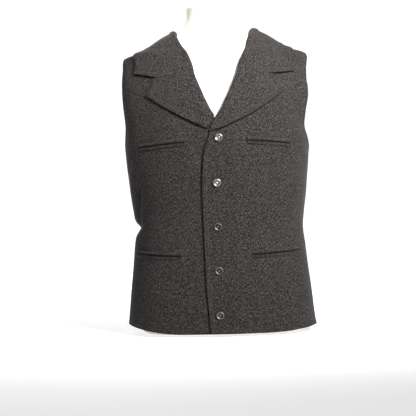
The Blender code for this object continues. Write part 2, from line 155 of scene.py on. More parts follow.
def plain_material(name, colour, roughness, metallic=0.0):
    """A new material, its shader and its node tree."""
    made = bpy.data.materials.new(name)
    made.use_nodes = True
    tree = made.node_tree
    shader = tree.nodes["Principled BSDF"]
    join(tree, shader, {"Base Color": colour, "Roughness": roughness, "Metallic": metallic})
    return made, shader, tree


def mesh_from(name, bm):
    """A mesh with what was built."""
    mesh = bpy.data.meshes.new(name)
    bm.to_mesh(mesh)
    bm.free()
    return mesh


def make_floor():
    bm = bmesh.new()
    bmesh.ops.create_circle(bm, cap_ends=True, segments=64, radius=FLOOR_RADIUS)
    paper, shader, tree = plain_material("floor paper", FLOOR_COLOUR, 1.0)
    place = add_node(tree, "TexCoord").outputs["Object"]
    depth = add_node(tree, "SeparateXYZ", {"Vector": place}).outputs["Y"]
    glow = map_range(tree, depth, *FLOOR_GLOW_DEPTH, *FLOOR_GLOW)
    join(tree, shader, {"Emission Color": FLOOR_COLOUR, "Emission Strength": glow})
    floor = add_object("floor", mesh_from("floor", bm))
    floor.data.materials.append(paper)


def make_surroundings():
    world = bpy.data.worlds.new("studio")
    world.use_nodes = True
    tree = world.node_tree
    look = add_node(tree, "TexCoord").outputs["Generated"]
    parts = add_node(tree, "SeparateXYZ", {"Vector": look}).outputs
    across = map_range(tree, parts["X"], -1.0, 1.0)
    room = colour_ramp(tree, across, (0.0, ROOM_LEFT), (1.0, ROOM))
    wall = map_range(tree, parts["Y"], *WALL_EDGE, interpolation_type="SMOOTHSTEP")
    light = mix_colours(tree, wall, room, WALL)
    seen = add_node(tree, "LightPath").outputs["Is Camera Ray"]
    shown = mix_colours(tree, seen, light, BACKDROP, "LIGHTEN")
    join(tree, tree.nodes["Background"], {"Color": shown})
    bpy.context.scene.world = world
    bpy.context.scene.view_settings.view_transform = "Standard"


make_camera()
for light in LIGHTS:
    make_light(*light)
make_floor()
make_surroundings()


# Dress form
# A moulded torso with no limbs under a smooth cream cover, which carries the vest on its shoulders.
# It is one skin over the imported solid, from its flat foot to the flat top of its neck.

# The worn surface, the inner face of the panels, ring by ring
# Columns: height, half width, front depth, back depth, squareness
SECTIONS = (
    (-0.005, 0.206, 0.128, 0.128, 2.5),
    (0.045, 0.200, 0.127, 0.126, 2.5),
    (0.095, 0.195, 0.125, 0.122, 2.5),
    (0.145, 0.189, 0.122, 0.117, 2.5),
    (0.185, 0.185, 0.120, 0.112, 2.5),
    (0.226, 0.181, 0.119, 0.108, 2.5),
    (0.260, 0.184, 0.120, 0.109, 2.5),
    (0.295, 0.189, 0.124, 0.113, 2.5),
    (0.335, 0.193, 0.130, 0.118, 2.5),
    (0.376, 0.197, 0.135, 0.123, 2.5),
    (0.415, 0.199, 0.137, 0.127, 2.5),
    (0.441, 0.199, 0.136, 0.130, 2.5),
    (0.495, 0.207, 0.128, 0.132, 2.5),
    (0.543, 0.210, 0.114, 0.127, 2.4),
    (0.575, 0.205, 0.101, 0.118, 2.3),
    (0.600, 0.199, 0.089, 0.105, 2.2),
    (0.612, 0.162, 0.080, 0.094, 2.2),
    (0.628, 0.126, 0.072, 0.082, 2.1),
    (0.642, 0.102, 0.066, 0.073, 2.0),
    (0.655, 0.083, 0.061, 0.066, 2.0),
    (0.669, 0.069, 0.058, 0.060, 2.0),
    (0.687, 0.062, 0.056, 0.057, 2.0),
    (0.709, 0.060, 0.055, 0.056, 2.0),
)
# The vest is worn a little askew: the middle of its upper front is pulled to the right,
# between heights where the pull sets in and ends, and between angles on the left and on the right
SKEW = 0.0088
SKEW_LOW = (0.280, 0.455)
SKEW_HIGH = (0.600, 0.660)
SKEW_LEFT = (-58.0, -40.0)
SKEW_RIGHT = (15.0, 36.0)
FORM_TOP = 0.709
# How far the dress form stays inside the worn cloth, which rests on its shoulders
# Columns: height, ease all round, more ease at the armholes
FORM_EASE = (
    (0.000, 0.0290, 0.000),
    (0.060, 0.0180, 0.000),
    (0.120, 0.0094, 0.000),
    (0.200, 0.0174, 0.000),
    (0.250, 0.0174, 0.000),
    (0.340, 0.0094, 0.000),
    (0.395, 0.0094, 0.000),
    (0.475, 0.0094, 0.013),
    (0.540, 0.0094, 0.013),
    (0.575, 0.0064, 0.013),
    (0.600, 0.0036, 0.007),
    (0.622, 0.0012, 0.001),
    (0.634, 0.0009, 0.000),
    (0.641, 0.0010, 0.000),
    (0.650, 0.0029, 0.000),
    (0.655, 0.0027, 0.000),
    (0.667, 0.0000, 0.000),
    (FORM_TOP, 0.0000, 0.000),
)
# How closely the ease of the armholes keeps to the sides
ARM_SHARPNESS = 6
# Roundings of the neck's top and of the foot, sides of a ring, and distance between rings
FORM_ROUND = 0.003
FOOT_ROUND = 0.018
FORM_SIDES = 108
FORM_STEP = 0.006
FORM_COLOUR = (0.62, 0.585, 0.525, 1.0)
FORM_SHADE = (0.56, 0.52, 0.46, 1.0)
# Faces that meet more sharply than this stay sharp, and points closer than this become one
FORM_SHARP = 50.0
MERGE = 1e-6

# The slopes of each table's columns, kept once they are worked out
SLOPES = {}


def read(table, key):
    """The columns of a table at a key, on a smooth curve through its rows that never overshoots."""
    key = min(max(key, table[0][0]), table[-1][0])
    upper = next(i for i in range(1, len(table)) if key <= table[i][0])
    start, end = table[upper - 1], table[upper]
    span = end[0] - start[0]
    part = (key - start[0]) / span
    if id(table) not in SLOPES:
        columns = range(1, len(start))
        SLOPES[id(table)] = [[slope(table, row, column) for column in columns] for row in range(len(table))]
    slopes = zip(SLOPES[id(table)][upper - 1], SLOPES[id(table)][upper])
    return tuple(
        hermite(part, first, last, first_slope * span, last_slope * span)
        for first, last, (first_slope, last_slope) in zip(start[1:], end[1:], slopes)
    )


def slope(table, row, column):
    """The slope of a column at a row, level where the column turns."""
    if row in (0, len(table) - 1):
        other = 1 if row == 0 else row - 1
        return (table[other][column] - table[row][column]) / (table[other][0] - table[row][0])
    before = (table[row][column] - table[row - 1][column]) / (table[row][0] - table[row - 1][0])
    after = (table[row + 1][column] - table[row][column]) / (table[row + 1][0] - table[row][0])
    return 2 * before * after / (before + after) if before * after > 0 else 0.0


def hermite(part, start, end, start_slope, end_slope):
    """The value at a share of the way between two values with their slopes."""
    rest = 1 - part
    return (
        start * rest * rest * (1 + 2 * part)
        + end * part * part * (3 - 2 * part)
        + start_slope * part * rest * rest
        - end_slope * part * part * rest
    )


def smooth(low, high, value):
    """0 below low, 1 above high, and a soft step between them."""
    part = min(max((value - low) / (high - low), 0.0), 1.0)
    return part * part * (3 - 2 * part)


def skew(angle, height):
    """How far the worn front is pulled to the right here."""
    turn = (angle + 180) % 360 - 180
    level = smooth(*SKEW_LOW, height) * (1 - smooth(*SKEW_HIGH, height))
    return SKEW * level * smooth(*SKEW_LEFT, turn) * (1 - smooth(*SKEW_RIGHT, turn))


def ring_point(angle, height):
    """A point of the section at this height."""
    half_width, front, back, square = read(SECTIONS, height)
    sine = math.sin(math.radians(angle))
    cosine = math.cos(math.radians(angle))
    depth = front if cosine > 0 else back
    x = half_width * math.copysign(abs(sine) ** (2 / square), sine) + skew(angle, height)
    y = -depth * math.copysign(abs(cosine) ** (2 / square), cosine)
    return Vector((x, y, height))


def normal(angle, height):
    """Outward direction of the worn surface."""
    turn, rise = 1.5, 0.0015
    around = ring_point(angle + turn, height) - ring_point(angle - turn, height)
    upward = ring_point(angle, height + rise) - ring_point(angle, height - rise)
    return around.cross(upward).normalized()


def steps(start, end, step):
    """Evenly spaced values from start to end, about a step apart."""
    count = max(1, round(abs(end - start) / step))
    return [start + (end - start) * i / count for i in range(count + 1)]


def form_ease(angle, height):
    """How far the form stays inside the cloth here."""
    ease, arm_ease = read(FORM_EASE, height)
    return ease + arm_ease * abs(math.sin(math.radians(angle))) ** ARM_SHARPNESS


def form_rows():
    """Heights of the form's rings, each with its inset: a rounded foot, the body, a rounded neck top."""
    quarter = [math.radians(angle) for angle in range(0, 90, 9)]
    foot = [(FOOT_ROUND * (1 - math.cos(a)), FOOT_ROUND * (1 - math.sin(a))) for a in quarter]
    body = [(height, 0.0) for height in steps(FOOT_ROUND, FORM_TOP - FORM_ROUND, FORM_STEP)]
    rim = [(FORM_TOP - FORM_ROUND * (1 - math.cos(a)), FORM_ROUND * (1 - math.sin(a))) for a in quarter]
    return foot + body + rim[::-1]


def grid_mesh(name, points):
    """An open surface through rows of points, facing away from the body, with its cut as UVs in metres."""
    rows, columns = len(points), len(points[0])
    middle = [row[columns // 2] for row in points]
    upward = [0.0]
    for start, end in zip(middle, middle[1:]):
        upward.append(upward[-1] + (end - start).length)
    across = []
    for row in points:
        run = [0.0]
        for start, end in zip(row, row[1:]):
            run.append(run[-1] + (end - start).length)
        nearest = min(range(columns), key=lambda column: abs(row[column].x))
        across.append([place - run[nearest] + row[nearest].x for place in run])
    bm = bmesh.new()
    bmesh.ops.create_grid(bm, x_segments=columns - 1, y_segments=rows - 1, size=1)
    bm.verts.ensure_lookup_table()
    for row in range(rows):
        for column in range(columns):
            bm.verts[row * columns + column].co = points[row][column]
    cut = bm.loops.layers.uv.new("cut")
    for face in bm.faces:
        for loop in face.loops:
            row, column = divmod(loop.vert.index, columns)
            loop[cut].uv = (across[row][column], upward[row])
    return mesh_from(name, bm)


def show(name, mesh, material, slot, *nodes):
    """One piece of the object, shaded smooth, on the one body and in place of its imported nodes."""
    mesh.materials.append(material)
    mesh.shade_smooth()
    piece = add_object(name, mesh)
    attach(piece, "root")
    if nodes:
        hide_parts(*nodes)
    return piece


def noise(tree, vector, scale, **sockets):
    return add_node(tree, "TexNoise", {"Vector": vector, "Scale": scale, **sockets}).outputs["Fac"]


def add_bump(tree, shader, height, strength, distance):
    """Roughen a shader's surface by a height."""
    made = add_node(tree, "Bump", {"Height": height, "Strength": strength, "Distance": distance})
    join(tree, shader, {"Normal": made.outputs["Normal"]})


def form_material():
    """Smooth cream cover with a faint, broad unevenness of tone."""
    made, shader, tree = plain_material("form cover", FORM_COLOUR, 0.5)
    place = add_node(tree, "TexCoord").outputs["Object"]
    tone = noise(tree, place, 7.0, Detail=2.0)
    colour = colour_ramp(tree, tone, (0.30, FORM_SHADE), (0.62, FORM_COLOUR))
    join(tree, shader, {"Base Color": colour, "Sheen Weight": 0.08})
    add_bump(tree, shader, noise(tree, place, 900.0), strength=0.12, distance=0.0003)
    return made


def make_form():
    points = []
    for height, inset in form_rows():
        row = []
        for i in range(FORM_SIDES + 1):
            angle = 360 * i / FORM_SIDES
            outward = normal(angle, height)
            point = ring_point(angle, height) - outward * form_ease(angle, height)
            point -= Vector((outward.x, outward.y, 0)) * inset
            if inset:
                point.z = height
            row.append(point)
        points.append(row)
    mesh = grid_mesh("dress_form_skin", points)
    bm = bmesh.new()
    bm.from_mesh(mesh)
    bmesh.ops.remove_doubles(bm, verts=bm.verts, dist=MERGE)
    rims = [edge for edge in bm.edges if edge.is_boundary]
    bmesh.ops.holes_fill(bm, edges=rims, sides=0)
    bmesh.ops.recalc_face_normals(bm, faces=bm.faces)
    bm.to_mesh(mesh)
    bm.free()
    mesh.set_sharp_from_angle(angle=math.radians(FORM_SHARP))
    show("dress_form_skin", mesh, form_material(), "form", "dress_form")


make_form()


# Back
# One panel of wool melton from side seam to side seam, joined to the fronts at the side and shoulder
# seams. Its armholes and hem are turned in and topstitched.

# Thickness of the wool, the gap at a seam and the gap between layers
CLOTH = 0.0024
SEAM_GAP = 0.0003
LAYER_GAP = 0.0008
ON_CLOTH = CLOTH + LAYER_GAP

# Heights of the cut
HEM_FRONT = 0.006
HEM_LEFT = 0.024
HEM_RIGHT = 0.013
HEM_BACK = 0.007
# Angles between which the hem climbs from its low centre to the side seam
CLIMB_LEFT = (15.0, 84.0)
CLIMB_RIGHT = (25.0, 84.0)
CLIMB_BACK = (92.0, 165.0)
ARMPIT = 0.397
V_BOTTOM = 0.463
BREAK_LEFT = 0.438
BREAK_RIGHT = 0.431
GORGE = 0.551
SHOULDER_TIP = 0.601
NECK_POINT = 0.651
BACK_NECK = 0.645
# Angles of the cut
SIDE_SEAM = 90.0
SHOULDER_SEAM = 84.0

# Armhole edges. Columns: height, angle in front, angle behind
ARMHOLE = (
    (ARMPIT, 90.0, 90.0),
    (0.403, 84.5, 96.0),
    (0.420, 78.0, 102.5),
    (0.450, 72.0, 108.5),
    (0.495, 68.0, 112.0),
    (0.543, 68.5, 111.0),
    (0.573, 72.5, 106.0),
    (0.589, 77.5, 99.5),
    (SHOULDER_TIP, SHOULDER_SEAM, SHOULDER_SEAM),
)
# Neckline under the collar. Columns: angle, height
BACK_NECKLINE = (
    (SHOULDER_SEAM, NECK_POINT),
    (120.0, 0.650),
    (150.0, 0.646),
    (180.0, BACK_NECK),
)
# Largest folds of the worn cloth, pressed in from its face, or out where the depth is negative
# Columns: angle, height, depth, half angle, half height, rise of the fold per degree
FOLDS = (
    (-86.0, 0.229, 0.0125, 24.0, 0.012, 0.0004),
    (-58.0, 0.313, 0.0035, 10.0, 0.040, 0.0000),
    (72.0, 0.507, -0.0045, 16.0, 0.024, 0.0000),
    (82.0, 0.442, 0.0045, 14.0, 0.018, 0.0000),
    (122.0, 0.245, 0.0040, 20.0, 0.018, 0.0006),
    (-128.0, 0.240, 0.0040, 18.0, 0.016, -0.0006),
)
# Smaller creases that the wearer's shape and the seams pull into the cloth
# Columns: angle, height, depth, half length, half width, lean from level in degrees
CREASES = (
    (-60.0, 0.276, 0.0048, 0.040, 0.0095, 65.0),
    (-63.0, 0.229, 0.0020, 0.034, 0.0065, -8.0),
    (-66.0, 0.205, 0.0014, 0.030, 0.0070, -30.0),
    (-48.0, 0.247, 0.0010, 0.030, 0.0060, 14.0),
    (-60.0, 0.430, 0.0007, 0.026, 0.0030, 88.0),
    (-66.0, 0.368, 0.0013, 0.034, 0.0080, 42.0),
    (-36.0, 0.352, 0.0008, 0.045, 0.0140, 74.0),
    (-30.0, 0.120, 0.0009, 0.060, 0.0150, 84.0),
    (-52.0, 0.060, 0.0014, 0.050, 0.0130, 96.0),
    (66.0, 0.232, 0.0018, 0.034, 0.0080, 8.0),
    (72.0, 0.262, 0.0012, 0.030, 0.0070, -16.0),
    (58.0, 0.207, 0.0009, 0.028, 0.0080, 22.0),
    (66.0, 0.372, 0.0014, 0.036, 0.0090, -40.0),
    (6.0, 0.052, 0.0008, 0.012, 0.0028, 8.0),
    (7.5, 0.236, 0.0006, 0.016, 0.0035, -12.0),
    (8.0, 0.142, 0.0005, 0.014, 0.0035, 10.0),
    (34.0, 0.330, 0.0009, 0.050, 0.0150, 100.0),
    (30.0, 0.085, 0.0009, 0.055, 0.0140, 96.0),
    (50.0, 0.050, 0.0015, 0.048, 0.0130, 84.0),
    (152.0, 0.236, 0.0028, 0.050, 0.0090, 7.0),
    (-154.0, 0.229, 0.0030, 0.055, 0.0095, -6.0),
    (178.0, 0.262, 0.0016, 0.040, 0.0080, 3.0),
    (168.0, 0.205, 0.0015, 0.038, 0.0085, -11.0),
    (-170.0, 0.196, 0.0011, 0.030, 0.0080, 14.0),
    (150.0, 0.440, 0.0016, 0.060, 0.0130, 80.0),
    (-148.0, 0.430, 0.0018, 0.056, 0.0120, 101.0),
    (114.0, 0.322, 0.0015, 0.042, 0.0090, 66.0),
    (-112.0, 0.330, 0.0016, 0.040, 0.0085, 112.0),
    (146.0, 0.070, 0.0014, 0.055, 0.0140, 84.0),
    (-150.0, 0.080, 0.0013, 0.050, 0.0150, 97.0),
    (178.0, 0.565, 0.0009, 0.045, 0.0090, 0.0),
)
# Metres per degree round the body, and how many half lengths away a crease has faded
ARC = 0.0029
CREASE_REACH = 3.0

# Rows and columns: how far apart, and their places beside a stitched edge and beside a seam
GRID_STEP = 0.0045
EDGE_STEPS = (0.0, 0.0014, 0.0028, 0.0044, 0.0060, 0.0072, 0.0083, 0.0094, 0.0106, 0.0122, 0.0144)
SEAM_STEPS = (0.0, 0.0013, 0.0027, 0.0044)
# Rounding of the cloth's rim, where its faces meet more sharply than an angle
ROUND_OFF = 0.0007
RIM_ANGLE = 60.0
# Stitching: how far inside its edge, pitch, size of a stitch, groove under it, dip beside a seam
STITCH_IN = 0.0085
STITCH_PITCH = 0.0043
STITCH_SIZE = (0.0033, 0.0009, 0.0007)
GROOVE = 0.0007
GROOVE_HALF = 0.0013
SEAM_DIP = 0.0006
SEAM_HALF = 0.0018
# How far apart lines are sampled, and how many samples at the ends of an edge get no stitches
SAMPLE = 0.001
BARE_ENDS = 2
# Rounds in which the rows of a panel settle between its edges
SETTLING = 4

# The wool is painted darker near an edge that lies over it or runs beside it, as painted shade: how far that
# nearness is stored and searched, where the painted shade starts and ends, how dark it is, and how squarely
# a place faces the edge whose side it is told by
NEAR_EDGE = 0.0100
NEAR_EDGE_SEARCH = 0.018
SQUARE_ON = 0.7
EDGE_SHADE_START = 0.0004
EDGE_SHADE_END = 0.0034
EDGE_SHADE = 0.07
WOOL_DARK = (0.0017, 0.0013, 0.0012, 1.0)
WOOL_MIDDLE = (0.0088, 0.0073, 0.0069, 1.0)
WOOL_LIGHT = (0.0410, 0.0366, 0.0353, 1.0)
THREAD_COLOUR = (0.010, 0.009, 0.009, 1.0)


def fold_depth(angle, height):
    """How far the folds and creases press the cloth in here."""
    depth = 0.0
    for centre, level, deepest, half_angle, half_height, rise in FOLDS:
        turn = (angle - centre + 180) % 360 - 180
        across = turn / half_angle
        along = (height - level - rise * turn) / half_height
        depth += deepest * math.exp(-across * across - along * along)
    for centre, level, deepest, half_length, half_width, lean in CREASES:
        x = ((angle - centre + 180) % 360 - 180) * ARC
        z = height - level
        if max(abs(x), abs(z)) > CREASE_REACH * half_length:
            continue
        along = (x * math.cos(math.radians(lean)) + z * math.sin(math.radians(lean))) / half_length
        across = (z * math.cos(math.radians(lean)) - x * math.sin(math.radians(lean))) / half_width
        depth += deepest * math.exp(-along * along - across * across)
    return depth


def torso(angle, height, lift):
    """A point at this lift above the worn surface, folds included."""
    return ring_point(angle, height) + normal(angle, height) * (lift - fold_depth(angle, height))


def hem_height(angle):
    """The hem dips at the front centre and a little at the back, and hangs lower on the right."""
    turn = (angle + 180) % 360 - 180
    side, climb = (HEM_RIGHT, CLIMB_RIGHT) if turn > 0 else (HEM_LEFT, CLIMB_LEFT)
    if abs(turn) < SIDE_SEAM:
        return HEM_FRONT + (side - HEM_FRONT) * smooth(*climb, abs(turn))
    return side + (HEM_BACK - side) * smooth(*CLIMB_BACK, abs(turn))


def flat_lift(angle, height):
    """Lift of a panel that lies straight on the wearer."""
    return 0.0


def seam_turn(angle, height):
    """Half a seam's gap, as an angle at this place."""
    point = ring_point(angle, height)
    return SEAM_GAP / 2 / (math.hypot(point.x, point.y) * math.radians(1))


def armhole_angle(height, behind):
    """Outer edge of a panel: side seam, armhole, then shoulder seam."""
    if height <= ARMPIT:
        angle = SIDE_SEAM
    elif height >= SHOULDER_TIP:
        angle = SHOULDER_SEAM
    else:
        angle = read(ARMHOLE, height)[1 if behind else 0]
    gap = seam_turn(angle, height)
    return angle + gap if behind else angle - gap


def spread(length, low_edge=EDGE_STEPS, high_edge=EDGE_STEPS, step=GRID_STEP):
    """Shares of a length, close together where grooves run beside its two edges."""
    middle = steps(low_edge[-1], length - high_edge[-1], step)
    places = list(low_edge) + middle[1:-1] + [length - place for place in reversed(high_edge)]
    return [place / length for place in places]


def panel_points(heights, shares, low, high, start, end, lift, side=1):
    """Rows of a panel between a low and a high edge (by angle) and two sides (by height)."""
    first, last = heights[0], heights[-1]
    points = []
    for nominal in heights:
        share = (nominal - first) / (last - first)
        row = []
        for across in shares:
            height = nominal
            for _ in range(SETTLING):
                angle = start(height) + (end(height) - start(height)) * across
                below = (low(side * angle) - first) * (1 - share) ** 2
                height = nominal + below + (high(angle) - last) * share**2
            row.append(torso(side * angle, height, lift(angle, height)))
        points.append(row[::side])
    return points


def resample(line, step):
    """Points a step apart along a line, and the line's direction at each."""
    places, travelled, wanted = [], 0.0, 0.0
    for start, end in zip(line, line[1:]):
        length = (end - start).length
        while length > 0 and wanted <= travelled + length:
            places.append((start.lerp(end, (wanted - travelled) / length), (end - start).normalized()))
            wanted += step
        travelled += length
    return places


def tree_through(points):
    """A search tree through some points."""
    tree = kdtree.KDTree(len(points))
    for index, place in enumerate(points):
        tree.insert(place, index)
    tree.balance()
    return tree


def samples_of(lines):
    """Points close together on some lines."""
    return [place for line in lines for place, _ in resample(line, SAMPLE)]


def grid_normals(points):
    """Outward directions at the points of a grid."""
    rows, columns = len(points), len(points[0])
    normals = []
    for r in range(rows):
        below, above = points[max(r - 1, 0)], points[min(r + 1, rows - 1)]
        row = []
        for c in range(columns):
            around = points[r][min(c + 1, columns - 1)] - points[r][max(c - 1, 0)]
            row.append(around.cross(above[c] - below[c]).normalized())
        normals.append(row)
    return normals


def pressed(points, finished, seams, curl=0.0):
    """The sheet with a groove under the stitching of its finished edges and a dip at its seams."""
    finished_tree = tree_through(samples_of(finished)) if finished else None
    seam_tree = tree_through(samples_of(seams)) if seams else None
    normals = grid_normals(points)
    shaped = []
    for row, row_normals in zip(points, normals):
        new_row = []
        for point, outward in zip(row, row_normals):
            move = 0.0
            if finished_tree:
                inside = finished_tree.find(point)[2]
                move -= GROOVE * math.exp(-(((inside - STITCH_IN) / GROOVE_HALF) ** 2))
                move += curl * math.exp(-((inside / STITCH_IN) ** 2))
            if seam_tree:
                beside = seam_tree.find(point)[2]
                move -= SEAM_DIP * math.exp(-((beside / SEAM_HALF) ** 2))
            new_row.append(point + outward * move)
        shaped.append(new_row)
    return shaped


def inner_line(points, edge, inside):
    """The line on a grid that runs at this distance inside one of its edges, with its outward directions."""
    samples = samples_of([edge])
    tree = tree_through(samples)
    normals = grid_normals(points)
    rows, columns = len(points), len(points[0])
    distance = [[tree.find(point)[2] - inside for point in row] for row in points]
    found = {}
    for r in range(rows):
        for c in range(columns):
            for r2, c2 in ((r, c + 1), (r + 1, c)):
                if r2 == rows or c2 == columns or distance[r][c] * distance[r2][c2] >= 0:
                    continue
                share = distance[r][c] / (distance[r][c] - distance[r2][c2])
                place = points[r][c].lerp(points[r2][c2], share)
                index = tree.find(place)[1]
                if BARE_ENDS < index < len(samples) - 1 - BARE_ENDS:
                    found.setdefault(index, []).append((place, normals[r][c]))
    line = []
    for index in sorted(found):
        places = found[index]
        line.append((sum((p for p, _ in places), Vector()) / len(places), places[0][1]))
    return line


def mark_painted_shade(made, outline, inside=None, inset=0.0):
    """Store on a cloth how near each of its points is to an outline, or how far under it, for the wool's
    painted shade.

    The outline bounds something on the side of the place inside; without it, it is an open line.
    """
    piece, points = made
    samples = resample(outline, SAMPLE / 2)
    tree = tree_through([place for place, _ in samples])
    attributes = piece.data.attributes
    stored = attributes.get("near_edge") or attributes.new("near_edge", "FLOAT", "POINT")
    places = [point for row in points for point in row]
    normals = [outward for row in grid_normals(points) for outward in row]
    for index, (place, outward) in enumerate(zip(places, normals)):
        nearest, sample, apart = tree.find(place)
        if apart > NEAR_EDGE_SEARCH:
            continue
        offset = place - nearest
        offset -= outward * offset.dot(outward)
        distance = offset.length
        if inside and 0 < sample < len(samples) - 1:
            away = samples[sample][1].cross(outward).normalized()
            away = -away if away.dot(inside - nearest) > 0 else away
            if abs(offset.dot(away)) > SQUARE_ON * distance:
                distance = offset.dot(away)
        stored.data[index].value = max(stored.data[index].value, NEAR_EDGE - inset - distance, 0.0)


def stitch_mesh(name, lines, lift=CLOTH):
    """Short raised stitches along some lines of places and outward directions."""
    bm = bmesh.new()
    for line in lines:
        places = [place for place, _ in line]
        tree = tree_through(places)
        for place, along in resample(places, STITCH_PITCH):
            outward = line[tree.find(place)[1]][1]
            beside = outward.cross(along).normalized()
            axes = [axis * size / 2 for axis, size in zip((along, beside, outward), STITCH_SIZE)]
            matrix = Matrix(axes).transposed().to_4x4()
            matrix.translation = place + outward * lift
            bmesh.ops.create_icosphere(bm, subdivisions=1, radius=1.0, matrix=matrix)
    return mesh_from(name, bm)


def maths(tree, operation, *values, **settings):
    return add_node(tree, "Math", dict(enumerate(values)), operation=operation, **settings).outputs[0]


def weighed(tree, first, *others):
    """The sum of some pairs of a value and its weight."""
    total = maths(tree, "MULTIPLY", *first)
    for pair in others:
        total = maths(tree, "ADD", total, maths(tree, "MULTIPLY", *pair))
    return total


def wool_material(name, grain=0.0, shade=1.0):
    """Charcoal melton: dark and light fibres felted over a fine twill, with a soft nap.

    Grain is the turn of its yarns on the piece's own cut, in degrees; shade is its lightness, raised above 1
    on some pieces as painted light.
    The wool is also painted darker near the edges, seams and slots stored on its cloth, as painted shade.
    """
    made, shader, tree = plain_material(name, WOOL_MIDDLE, 0.95)
    place = add_node(tree, "TexCoord").outputs
    clumps = noise(tree, place["Object"], 640.0, Detail=1.0, Roughness=0.6)
    fibres = noise(tree, place["Object"], 1600.0, Detail=1.0, Roughness=0.6)
    broad = noise(tree, place["Object"], 16.0, Detail=2.0, Roughness=0.6)
    turn = add_node(tree, "Mapping", {"Vector": place["UV"], "Rotation": (0.0, 0.0, math.radians(grain))})
    cut = turn.outputs["Vector"]

    def stretch(across, along):
        return add_node(tree, "Mapping", {"Vector": cut, "Scale": (across, along, 1.0)}).outputs["Vector"]

    tufts = add_node(tree, "TexVoronoi", {"Vector": stretch(1.0, 0.62), "Scale": 580.0})
    flecks = add_node(tree, "SeparateColor", {"Color": tufts.outputs["Color"]}).outputs["Red"]
    upright = noise(tree, stretch(1.0, 0.30), 760.0, Detail=1.0)
    level = noise(tree, stretch(0.30, 1.0), 760.0, Detail=1.0)
    sockets = {"Vector": cut, "Scale": 240.0, "Distortion": 2.2, "Detail": 2.0, "Detail Scale": 2.5}
    twill = add_node(tree, "TexWave", sockets, bands_direction="DIAGONAL").outputs["Fac"]

    felt = ((clumps, 0.18), (fibres, 0.14), (flecks, 0.085), (upright, 0.405), (level, 0.15), (twill, 0.04))
    grey = weighed(tree, *felt)
    colour = colour_ramp(tree, grey, (0.435, WOOL_DARK), (0.50, WOOL_MIDDLE), (0.575, WOOL_LIGHT))
    # Painted shade: the wool darkens smoothly near the edges, seams and slots whose nearness is stored on
    # its cloth
    near = add_node(tree, "Attribute", attribute_name="near_edge").outputs["Fac"]
    start, end = NEAR_EDGE - EDGE_SHADE_END, NEAR_EDGE - EDGE_SHADE_START
    painted_edge_shade = map_range(tree, near, start, end, 1.0, EDGE_SHADE, interpolation_type="SMOOTHSTEP")
    lightness = maths(tree, "ADD", maths(tree, "MULTIPLY", broad, 0.30), shade - 0.15)
    lightness_with_painted_shade = maths(tree, "MULTIPLY", lightness, painted_edge_shade)
    tone = add_node(tree, "HueSaturation", {"Color": colour, "Value": lightness_with_painted_shade})
    height = weighed(tree, (fibres, 0.55), (clumps, 0.35), (twill, 0.22))
    add_bump(tree, shader, height, strength=0.55, distance=0.0004)
    join(tree, shader, {"Base Color": tone.outputs["Color"], "Specular IOR Level": 0.18})
    join(tree, shader, {"Sheen Weight": 0.05, "Sheen Roughness": 0.45})
    return made


def thread_material():
    """Charcoal sewing thread, a little smoother than the cloth."""
    made, shader, tree = plain_material("thread", THREAD_COLOUR, 0.7)
    place = add_node(tree, "TexCoord").outputs["Object"]
    add_bump(tree, shader, noise(tree, place, 2500.0), strength=0.4, distance=0.0002)
    return made


THREAD = thread_material()


def cloth(name, points, node, material, finished=(), wall=CLOTH):
    """A cloth piece: an open surface given its thickness outwards, with a rounded rim and its stitching."""
    piece = show(name, grid_mesh(name, points), material, "wool", node)
    thickness = piece.modifiers.new("thickness", "SOLIDIFY")
    thickness.thickness = wall
    thickness.offset = 1.0
    rim = piece.modifiers.new("rim", "BEVEL")
    rim.width = ROUND_OFF
    rim.segments = 2
    rim.limit_method = "ANGLE"
    rim.angle_limit = math.radians(RIM_ANGLE)
    with_pieces = []
    if finished:
        lines = [inner_line(points, edge, STITCH_IN) for edge in finished]
        stitching = f"{name}_stitching"
        with_pieces = [show(stitching, stitch_mesh(stitching, lines, wall), THREAD, "wool")]
    return piece


def column(points, index, low=0.0, high=1.0):
    """The part of a grid's column between two heights, upwards."""
    return [row[index] for row in points if low <= row[index].z <= high]


BACK_WIDTH = 0.50


def make_back():
    def edges(points):
        return [points[0]] + [column(points, index, ARMPIT, SHOULDER_TIP) for index in (0, -1)]

    rise = BACK_NECK - HEM_BACK
    points = panel_points(
        [HEM_BACK + rise * share for share in spread(rise)],
        spread(BACK_WIDTH),
        low=hem_height,
        high=lambda angle: read(BACK_NECKLINE, min(angle, 360 - angle))[0],
        start=lambda height: armhole_angle(height, True),
        end=lambda height: 360 - armhole_angle(height, True),
        lift=flat_lift,
    )
    below = [column(points, index, 0.0, ARMPIT) for index in (0, -1)]
    above = [column(points, index, SHOULDER_TIP, 1.0) for index in (0, -1)]
    points = pressed(points, edges(points), below + above)
    wool = wool_material("back wool")
    piece = cloth("back_panel", points, "back", wool, edges(points))
    return piece, points


back = make_back()


# Fronts
# Two panels below the yokes. The one on the viewer's right laps over the other and carries the snaps;
# its front edge, both hems and both armholes are turned in and topstitched.

# Roll line of the lapels and collar. Columns: height, distance from the centre line
V_EDGE = (
    (V_BOTTOM, 0.0060),
    (0.475, 0.0140),
    (0.490, 0.0210),
    (0.505, 0.0280),
    (0.518, 0.0335),
    (0.535, 0.0405),
    (0.547, 0.0455),
    (0.568, 0.0525),
    (0.588, 0.0600),
    (0.602, 0.0665),
    (0.613, 0.0730),
    (0.630, 0.0800),
    (0.642, 0.0820),
    (NECK_POINT, 0.0825),
)
# Front edge of the top front, below the V. Columns: height, distance past the centre line
OVERLAP_EDGE = (
    (-0.005, 0.0140),
    (0.062, 0.0185),
    (0.100, 0.0215),
    (0.203, 0.0240),
    (0.329, 0.0255),
    (0.371, 0.0250),
    (0.394, 0.0230),
    (0.419, 0.0150),
    (0.438, 0.0085),
    (V_BOTTOM, -0.0060),
)
